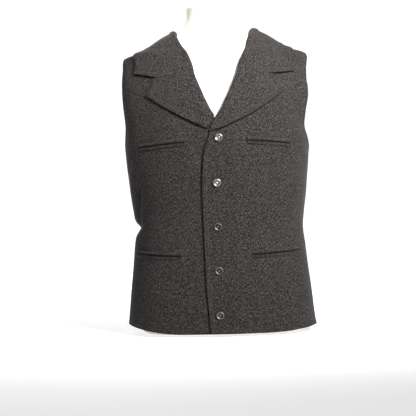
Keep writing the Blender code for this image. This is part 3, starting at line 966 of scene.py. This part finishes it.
# How far the left lapel ends inside that edge, and how far the left front reaches under it, as a share
TUCK = 0.0120
UNDERLAP = 0.9
# The top front's lift, from where to where it fades sideways, and from which height upwards
OVERLAP_LIFT = ON_CLOTH
OVERLAP_FADE = (0.034, 0.084)
OVERLAP_TOP = 0.467
# Front yoke seam. Columns: angle, height
YOKE_SEAM = (
    (0.0, 0.493),
    (25.0, 0.498),
    (43.0, 0.509),
    (52.0, 0.519),
    (60.0, 0.528),
    (70.0, 0.533),
    (90.0, 0.535),
)
FRONT_HEIGHT = YOKE_SEAM[0][1] - HEM_FRONT
FRONT_WIDTH = 0.27
# Pocket slots, cut through the fronts and jetted
# Columns: inner and outer end, as distance from the centre, height inside, rise outwards
POCKETS = {
    "chest": (0.065, 0.160, 0.4095, -0.0070),
    "hip": (0.076, 0.172, 0.1700, 0.0065),
}
SLOT_DEPTH = 0.0023
SLOT_HALF = 0.0013
SLOT_END = (-0.002, 0.001)
POCKET_STITCH_IN = 0.0086
POCKET_MARGIN = 0.0045
POCKET_REACH = 0.030
# Rows over the pockets: how far past the stitches, how far from other rows, and how far apart
POCKET_ROWS_PAST = 0.002
POCKET_ROWS_CLEAR = 0.001
POCKET_ROWS_STEP = 0.0009
# How far the doubled cloth of an edge stands up
FRONT_CURL = {"left": 0.0002, "right": 0.0012}


def angle_at(x, height):
    """The angle of a point on the front at a distance from the centre line."""
    half_width, _, _, square = read(SECTIONS, height)
    sine = min(abs(x) / half_width, 1.0) ** (square / 2)
    return math.copysign(math.degrees(math.asin(sine)), x)


def overlap_lift(x, height):
    """Lift of the top front, which lies on the other one along the centre."""
    across = 1 - smooth(*OVERLAP_FADE, x)
    return OVERLAP_LIFT * across * (1 - smooth(OVERLAP_TOP, GORGE, height))


def v_angle(height):
    """Inner edge of a front above the V bottom."""
    return angle_at(read(V_EDGE, height)[0], height)


def top_front_edge(height):
    """Front edge of the top front, past the centre line below the V."""
    if height >= V_BOTTOM:
        return v_angle(height)
    return angle_at(-read(OVERLAP_EDGE, height)[0], height)


def under_front_edge(height):
    """Front edge of the other front, hidden under the top one."""
    if height >= V_BOTTOM:
        return v_angle(height)
    return angle_at(-UNDERLAP * read(OVERLAP_EDGE, height)[0], height)


def yoke_height(angle):
    """Height of the seam between a front and its yoke."""
    return read(YOKE_SEAM, abs(angle))[0]


def top_front_lift(angle, height):
    """Lift of the top front and its yoke."""
    return overlap_lift(ring_point(angle, height).x, height)


def front_armhole(height):
    return armhole_angle(height, False)


# The two halves. Columns: name, side, front edge, lift
SIDES = (
    ("left", -1, under_front_edge, flat_lift),
    ("right", 1, top_front_edge, top_front_lift),
)
SIDE_LIFT = {side: lift for _, side, _, lift in SIDES}


def pocket_depth(angle, height):
    """How far a slot and the stitching round its welts press the front in here."""
    depth = 0.0
    for start, end, level, rise in POCKETS.values():
        if abs(height - level) > POCKET_REACH:
            continue
        inner, outer = angle_at(start, level), angle_at(end, level)
        share = (angle - inner) / (outer - inner)
        above = height - level - rise * share
        beyond = max(-share, share - 1) * (end - start)
        ends = 1 - smooth(*SLOT_END, beyond)
        depth += SLOT_DEPTH * ends * math.exp(-((above / SLOT_HALF) ** 2))
        line = max(abs(above) - POCKET_STITCH_IN, beyond - POCKET_MARGIN)
        depth += GROOVE * math.exp(-((line / GROOVE_HALF) ** 2))
    return depth


def front_rows():
    """Heights of a front's rows, close together over the pockets."""
    heights = [HEM_FRONT + FRONT_HEIGHT * share for share in spread(FRONT_HEIGHT)]
    for _, _, level, rise in POCKETS.values():
        low = level + min(rise, 0.0) - POCKET_STITCH_IN - POCKET_ROWS_PAST
        high = level + max(rise, 0.0) + POCKET_STITCH_IN + POCKET_ROWS_PAST
        bottom, top = low - POCKET_ROWS_CLEAR, high + POCKET_ROWS_CLEAR
        heights = [height for height in heights if not bottom < height < top]
        heights += steps(low, high, POCKET_ROWS_STEP)
    return sorted(heights)


def make_fronts():
    made = {}
    for name, side, front_edge, lift in SIDES:
        points = panel_points(
            front_rows(),
            spread(FRONT_WIDTH),
            low=hem_height,
            high=lambda angle: yoke_height(angle) - SEAM_GAP / 2,
            start=front_edge,
            end=front_armhole,
            lift=lambda angle, height: lift(angle, height) - pocket_depth(angle, height),
            side=side,
        )
        centre, outer = (0, -1) if side == 1 else (-1, 0)

        def edges(points):
            closure = column(points, centre, 0.0, V_BOTTOM)[::-1]
            return [closure + points[0][::side][1:], column(points, outer, ARMPIT, 1.0)]

        seams = [column(points, outer, 0.0, ARMPIT), points[-1]]
        points = pressed(points, edges(points), seams, FRONT_CURL[name])
        wool = wool_material(f"{name} front wool", grain=4.0 * side)
        piece = cloth(f"front_{name}_panel", points, f"front_{name}", wool, edges(points))
        made[name] = (piece, points)
    # Painted shade on the left front along the top front's lapped edge and under it
    mark_painted_shade(made["left"], column(made["right"][1], 0, 0.0, V_BOTTOM), Vector((1, 0, 0)))
    return made


fronts = make_fronts()


# Front yokes
# Each fills the shoulder between the slanted yoke seam, the armhole, the shoulder seam and the roll
# line, from the same wool. The seam allowance under the yoke seam is topstitched down.
YOKE_RISE = NECK_POINT - YOKE_SEAM[0][1]
YOKE_WIDTH = 0.17
YOKE_STEP = 0.0038
# How much narrower the shade of a seam is than that of an edge which lies on the cloth
SEAM_SHADE_INSET = 0.0014


def make_yokes():
    made = {}
    heights = [YOKE_SEAM[0][1] + YOKE_RISE * share for share in spread(YOKE_RISE, step=YOKE_STEP)]
    for name, side, _, lift in SIDES:
        points = panel_points(
            heights,
            spread(YOKE_WIDTH),
            low=lambda angle: yoke_height(angle) + SEAM_GAP / 2,
            high=lambda angle: NECK_POINT,
            start=v_angle,
            end=front_armhole,
            lift=lift,
            side=side,
        )
        outer = -1 if side == 1 else 0
        seams = [column(points, outer, SHOULDER_TIP, 1.0), points[0]]
        points = pressed(points, [column(points, outer, 0.0, SHOULDER_TIP)], seams)
        wool = wool_material(f"{name} yoke wool", grain=12.0 * side)
        edges = [column(points, outer, 0.0, SHOULDER_TIP), points[0]]
        piece = cloth(f"yoke_{name}_panel", points, f"yoke_{name}", wool, edges)
        made[name] = (piece, points)
        # Painted shade along the yoke seam on yoke and front, and along the shoulder seam
        for panel in (made[name], fronts[name]):
            mark_painted_shade(panel, points[0], inset=SEAM_SHADE_INSET)
        mark_painted_shade(made[name], column(points, outer, SHOULDER_TIP, 1.0), inset=SEAM_SHADE_INSET)
    return made


yokes = make_yokes()


# Lapels
# The turned-back upper part of each front: two layers of the wool sewn edge to edge and pressed flat,
# so they roll softly at the V and lie on the fronts and yokes with a topstitched edge.
LAPEL_TIP = (0.147, 0.512)
NOTCH = (0.127, 0.549)
# Roll of lapel and collar, from the inside of the edge over the fold to the fall
# Columns: turn, distance out from the edge, lift, share of the stand height
ROLL = (
    (0, -0.0009, 0.0004, 0.00),
    (1, -0.0010, 0.0018, 0.45),
    (2, -0.0003, 0.0037, 0.90),
    (3, 0.0022, 0.0044, 1.00),
    (4, 0.0062, 0.0041, 0.86),
)
# Its top, the rows just above the V where the left lapel comes down to its front, and turns to a row
ROLL_TOP = 0.0044
ROLL_JOG = 0.0010
ROLL_STEP = 0.34
LAPEL_CURL = 0.0012
LAPEL_WIDTH = 0.115


def along(start, end, share):
    """A point on the straight line between two places, each given by two numbers."""
    return tuple(a + (b - a) * share for a, b in zip(start, end))


def rolled_row(edge, outer, side, shares, notch=1.0, stand=0, sag=0, floor=0, reach=0, loft=0, puff=0):
    """A row of lapel or collar, from inside the edge over its roll and out along the panel.

    The edge and the outer end are places (angle, height). Shares are places on the way out, sag lowers
    the row at the notch, and floor keeps the roll above a panel that runs on under it. Reach sets the
    inside of the roll further in from the edge, loft lifts the fall off its panel, and puff lifts its
    middle where it spans from the neck to the shoulder.
    """
    lift = SIDE_LIFT[side]
    width = (torso(side * outer[0], outer[1], 0) - torso(side * edge[0], edge[1], 0)).length
    row = []
    squash = 1 - floor / ROLL_TOP
    for out, rise, stand_share in ROLL_PLACES:
        out = out * squash if out < 0 else out
        out -= reach * (1 - stand_share) ** 0.5
        angle, height = along(edge, outer, out / width)
        rise = floor + rise * squash
        row.append(torso(side * angle, height, lift(angle, height) + rise + stand * stand_share))
    start = ROLL_PLACES[-1][0] / width
    level = ON_CLOTH + loft
    top = ROLL_PLACES[-1][1] - level + stand * ROLL_PLACES[-1][2]
    for stop in shares[1:]:
        share = start + (1 - start) * stop
        angle, height = along(edge, outer, share)
        height -= sag * (share / notch if share <= notch else (1 - share) / (1 - notch))
        rise = level + top * (1 - share) ** 3 + puff * math.sin(math.pi * stop)
        row.append(torso(side * angle, height, lift(angle, height) + rise))
    return row[::side]


ROLL_PLACES = [read(ROLL, turn) for turn in steps(0, 4, ROLL_STEP)]


def lapel_edge(side, height):
    """Roll line of a lapel. The left one ends beside the top front's edge."""
    if height >= V_BOTTOM or side == 1:
        return top_front_edge(height)
    return angle_at(read(OVERLAP_EDGE, height)[0] + TUCK, height)


def make_lapels():
    tip = (angle_at(*LAPEL_TIP), LAPEL_TIP[1])
    notch = (angle_at(*NOTCH), NOTCH[1] - SEAM_GAP)
    top = GORGE + SEAM_GAP
    shares = spread(LAPEL_WIDTH, (0.0,), EDGE_STEPS)
    for name, side, _, _ in SIDES:
        low = BREAK_RIGHT if side == 1 else BREAK_LEFT
        points = []
        heights = [low + (top - low) * share for share in spread(top - low, EDGE_STEPS, SEAM_STEPS)]
        for height in sorted(heights + [V_BOTTOM + ROLL_JOG, V_BOTTOM + 2 * ROLL_JOG]):
            edge = (lapel_edge(side, height), height)
            floor = ON_CLOTH + SEAM_GAP if side == -1 and height <= V_BOTTOM + ROLL_JOG else 0.0
            end = along(tip, notch, (height - low) / (top - low))
            points.append(rolled_row(edge, end, side, shares, floor=floor))
        outer = -1 if side == 1 else 0

        def edge_of(points):
            return points[0][::side][len(ROLL_PLACES):] + column(points, outer)[1:]

        points = pressed(points, [edge_of(points)], [], LAPEL_CURL)
        outline = edge_of(points)
        # The lapels' wool is a lighter copy of the fronts' wool, as painted light
        wool = wool_material(f"{name} lapel wool", grain=-35.0 * side, shade=1.03)
        node = f"lapel_{name}"
        cloth(f"{node}_fall", points, node, wool, [outline])
        middle = points[len(points) // 2][len(points[0]) // 2]
        # Painted shade on the fronts and yokes along the lapel's edge and under it
        for panel in (fronts[name], yokes[name]):
            mark_painted_shade(panel, outline, middle)


make_lapels()


# Collar
# One band of two wool layers round the neck, sewn to the neckline and the lapels' gorge. It stands a
# little at the back, folds over its roll and falls on the yokes, with two points in front.

# Collar from its front end round to the centre back
# Columns: station, neck angle, edge angle, edge height, stand height
COLLAR = (
    (0.00, 9.6, 52.0, 0.561, 0.000),
    (0.10, 13.0, 51.5, 0.577, 0.000),
    (0.20, 20.0, 53.5, 0.592, 0.001),
    (0.32, 34.0, 62.0, 0.607, 0.002),
    (0.46, 58.0, 77.0, 0.617, 0.003),
    (0.60, 88.0, 97.0, 0.619, 0.005),
    (0.80, 135.0, 138.0, 0.611, 0.009),
    (1.00, 180.0, 180.0, 0.607, 0.011),
)
# How far the inside of its roll reaches in, from which station on, and how high its fall lies
COLLAR_REACH = 0.0022
REACH_END = 0.1
COLLAR_LOFT = 0.0006
# Lift of the collar's middle over the shoulder, between which stations it sets in and ends
COLLAR_PUFF = 0.0048
PUFF_START = (0.15, 0.42)
PUFF_END = (0.70, 1.0)
# How much lower its right point lies, and the stations where this and the notch's sag are over
RIGHT_TIP_DROP = 0.0060
TIP_DROP_END = 0.2
NOTCH_SAG_END = 0.3
COLLAR_LENGTH = 0.31
COLLAR_WIDTH = 0.075
COLLAR_CURL = 0.0013
COLLAR_MIDDLE = Vector((0.0, 0.0, 0.68))
# Halvings in which a neckline's height is found from its angle
HALVINGS = 30


def collar_notch():
    """How far out along the collar's front end the notch lies."""
    tip_angle = read(COLLAR, 0.0)[1]
    gorge_angle = v_angle(GORGE)
    return (angle_at(*NOTCH) - gorge_angle) / (tip_angle - gorge_angle)


COLLAR_SHARES = spread(collar_notch() * COLLAR_WIDTH, (0.0,), (0.0,))
COLLAR_SHARES = [share * collar_notch() for share in COLLAR_SHARES]
COLLAR_SHARES += [
    collar_notch() + (1 - collar_notch()) * share
    for share in spread((1 - collar_notch()) * COLLAR_WIDTH, (0.0,), EDGE_STEPS)[1:]
]


def collar_row(station, side):
    """One row of the collar, from the neckline over the fold to the outer edge."""
    neck_angle, edge_angle, edge_height, stand = read(COLLAR, station)
    neck_angle = max(neck_angle, v_angle(GORGE + SEAM_GAP))
    edge = (neck_angle, neckline_height(neck_angle))
    outer = (edge_angle, edge_height - tip_drop(side, station))
    notch = collar_notch()
    straight = GORGE + (read(COLLAR, 0.0)[2] - tip_drop(side, 0.0) - GORGE) * notch
    sag = (straight - NOTCH[1] - SEAM_GAP) * (1 - smooth(0.0, NOTCH_SAG_END, station))
    reach = COLLAR_REACH * smooth(0.0, REACH_END, station)
    puff = COLLAR_PUFF * smooth(*PUFF_START, station) * (1 - smooth(*PUFF_END, station))
    return rolled_row(edge, outer, side, COLLAR_SHARES, notch, stand, sag, 0.0, reach, COLLAR_LOFT, puff)


def tip_drop(side, station):
    """How much lower the collar's edge lies near its right point."""
    return RIGHT_TIP_DROP * (1 - smooth(0.0, TIP_DROP_END, station)) if side == 1 else 0.0


def neckline_height(angle):
    """Height of the neckline at an angle: the roll line in front, the back neck behind."""
    if angle >= SHOULDER_SEAM:
        return read(BACK_NECKLINE, angle)[0]
    low, high = V_BOTTOM, NECK_POINT
    for _ in range(HALVINGS):
        middle = (low + high) / 2
        if v_angle(middle) < angle:
            low = middle
        else:
            high = middle
    return low


def make_collar():
    stations = spread(COLLAR_LENGTH, EDGE_STEPS, (0.0,))
    left = [collar_row(station, -1) for station in stations]
    right = [collar_row(station, 1)[::-1] for station in reversed(stations[:-1])]
    points = left + right
    free = len(COLLAR_SHARES) - COLLAR_SHARES.index(collar_notch()) - 1

    def edge_of(points):
        return points[0][free:0:-1] + [row[0] for row in points] + points[-1][1 : free + 1]

    points = pressed(points, [edge_of(points)], [], COLLAR_CURL)
    outline = edge_of(points)
    # The collar's wool is a lighter copy of the fronts' wool, as painted light
    wool = wool_material("collar wool", grain=90.0, shade=1.05)
    cloth("collar_fall", points, "collar", wool, [outline])
    # Painted shade on the yokes and back along the collar's edge and under it
    for panel in (yokes["left"], yokes["right"], back):
        mark_painted_shade(panel, outline, COLLAR_MIDDLE)


make_collar()


# Jetted pockets
# Two narrow welts of folded wool to each slot, sewn into the front panels: two pockets on the chest,
# two at the hip. A line of stitches runs round each pair.
# Thickness of a welt's wall, distance between its columns, and how far the lower one hangs open
WELT_SHEET = 0.0008
WELT_STEP = 0.003
WELT_OPENING = 0.0012
# From the slot outwards. Columns: distance from the slot's middle, height above the front
WELT_PROFILE = (
    (0.0014, -0.0012),
    (0.0012, -0.0003),
    (0.0012, 0.0006),
    (0.0016, 0.0012),
    (0.0024, 0.0014),
    (0.0036, 0.0013),
    (0.0050, 0.0010),
    (0.0062, 0.0005),
    (0.0071, -0.0001),
)
# Wider, by this, is the shade of a slot on its welts
WELT_SHADE_INSET = -0.0004
# Parts in which each side of the stitching round a pocket is laid on the front
POCKET_STITCH_PARTS = 40


def pocket_place(pair, side, share, across, lift):
    """A place on a pocket and its outward direction.

    Share is how far it lies on the way outwards, across its distance above the slot, lift its height
    off the front.
    """
    start, end, height, rise = POCKETS[pair]
    inner, outer = angle_at(start, height), angle_at(end, height)
    angle = inner + (outer - inner) * share
    level = height + rise * share + across
    lift += SIDE_LIFT[side](angle, level) + CLOTH
    return torso(side * angle, level, lift), normal(side * angle, level)


def make_welt(pair, name, side, part, step):
    length = POCKETS[pair][1] - POCKETS[pair][0]
    shares = [place / length for place in steps(0.0, length, WELT_STEP)]
    points = []
    for across, lift in WELT_PROFILE[::step]:
        row = []
        for share in shares:
            gape = WELT_OPENING * math.sin(math.pi * share) if step == -1 else 0.0
            row.append(pocket_place(pair, side, share, step * across - gape, lift)[0])
        points.append(row[::side])
    node = f"pocket_{pair}_{name}_{part}_welt"
    wool = wool_material(f"{pair} {name} {part} welt wool", grain=90.0)
    piece = cloth(f"{node}_roll", points, node, wool, (), WELT_SHEET)
    slot = [pocket_place(pair, side, share, 0.0, 0.0)[0] for share in shares]
    # Painted shade in the slot: on the welt beside it and on the front along it
    mark_painted_shade((piece, points), slot, inset=WELT_SHADE_INSET)
    mark_painted_shade(fronts[name], slot)


def make_pocket_stitching(pair, name, side):
    inset = POCKET_STITCH_IN
    margin = POCKET_MARGIN / (POCKETS[pair][1] - POCKETS[pair][0])
    start, end = -margin, 1 + margin
    corners = ((start, -inset), (end, -inset), (end, inset), (start, inset), (start, -inset))
    lines = []
    for corner, next_corner in zip(corners, corners[1:]):
        parts = [i / POCKET_STITCH_PARTS for i in range(POCKET_STITCH_PARTS + 1)]
        places = [along(corner, next_corner, part) for part in parts]
        lines.append([pocket_place(pair, side, *place, -GROOVE) for place in places])
    stitching = f"pocket_{pair}_{name}_stitching"
    show(stitching, stitch_mesh(stitching, lines, 0.0), THREAD, "wool")


for pair in POCKETS:
    for name, side, _, _ in SIDES:
        make_welt(pair, name, side, "lower", -1)
        make_welt(pair, name, side, "upper", 1)
        make_pocket_stitching(pair, name, side)


# Snaps
# Five press snaps down the lapped edge: a pressed nickel cap with a beaded rim and a dished middle
# round a small dot, its prongs through the cloth. The lower caps have browned more than the upper two.

# Height of the top snap, distance of the row from the centre line, and distance between snaps
SNAP_TOP = 0.417
SNAP_LINE = 0.0055
SNAP_PITCH = 0.093
SNAP_SIDES = 56
# Columns: radius, height above the cloth, share of tarnish
SNAP_PROFILE = (
    (0.0000, 0.00270, 0.1),
    (0.0007, 0.00262, 0.1),
    (0.0012, 0.00232, 0.6),
    (0.0016, 0.00180, 1.0),
    (0.0023, 0.00148, 1.0),
    (0.0034, 0.00142, 1.0),
    (0.0044, 0.00160, 1.0),
    (0.0051, 0.00205, 0.8),
    (0.0056, 0.00262, 0.9),
    (0.0062, 0.00304, 0.75),
    (0.0068, 0.00314, 0.7),
    (0.0075, 0.00298, 0.8),
    (0.0081, 0.00250, 0.9),
    (0.0085, 0.00180, 1.0),
    (0.0086, 0.00110, 0.5),
    (0.0085, 0.00045, 0.9),
    (0.0081, 0.00030, 1.0),
    (0.0000, 0.00030, 1.0),
)
SNAP_TARNISH = (0.58, 0.60, 1.02, 1.00, 0.98)
NICKEL = (0.42, 0.395, 0.375, 1.0)
TARNISH = (0.030, 0.019, 0.016, 1.0)
# How much its spots vary the tarnish, and what is taken off so that they only spread where it is worn
SPOTS = 0.4
SPOTS_OFF = 1.2
SNAP_ROUGHNESS = (0.20, 0.46)


def snap_material(name, tarnish):
    """Polished nickel that has browned in its dish."""
    made, shader, tree = plain_material(name, NICKEL, SNAP_ROUGHNESS[0], 1.0)
    place = add_node(tree, "TexCoord").outputs["Object"]
    spots = noise(tree, place, 620.0, Detail=3.0)
    worn = add_node(tree, "Attribute", attribute_name="tarnish").outputs["Fac"]
    stain = maths(tree, "MULTIPLY_ADD", spots, SPOTS, tarnish - SPOTS_OFF)
    amount = maths(tree, "ADD", stain, worn, use_clamp=True)
    colour = mix_colours(tree, amount, NICKEL, TARNISH)
    roughness = map_range(tree, amount, 0.0, 1.0, *SNAP_ROUGHNESS)
    join(tree, shader, {"Base Color": colour, "Roughness": roughness})
    return made


def make_snap(number, tarnish):
    height = SNAP_TOP - SNAP_PITCH * number
    angle = angle_at(SNAP_LINE, height)
    place = Matrix.Translation(torso(angle, height, CLOTH + OVERLAP_LIFT))
    turn = normal(angle, height).to_track_quat("Z", "Y").to_matrix().to_4x4()
    bm = bmesh.new()
    worn = bm.verts.layers.float.new("tarnish")
    verts = []
    for radius, rise, share in SNAP_PROFILE:
        verts.append(bm.verts.new((radius, 0, rise)))
        verts[-1][worn] = share
    for start, end in zip(verts, verts[1:]):
        bm.edges.new((start, end))
    profile = bm.verts[:] + bm.edges[:]
    turns = {"cent": (0, 0, 0), "axis": (0, 0, 1), "angle": math.tau, "steps": SNAP_SIDES}
    bmesh.ops.spin(bm, geom=profile, use_merge=True, **turns)
    bmesh.ops.remove_doubles(bm, verts=bm.verts, dist=MERGE)
    bmesh.ops.recalc_face_normals(bm, faces=bm.faces)
    bmesh.ops.transform(bm, matrix=place @ turn, verts=bm.verts)
    node = f"snap_{number + 1}"
    mesh = mesh_from(f"{node}_cap", bm)
    show(f"{node}_cap", mesh, snap_material(f"snap {number + 1} nickel", tarnish), "snap_metal", node)


for number, tarnish in enumerate(SNAP_TARNISH):
    make_snap(number, tarnish)
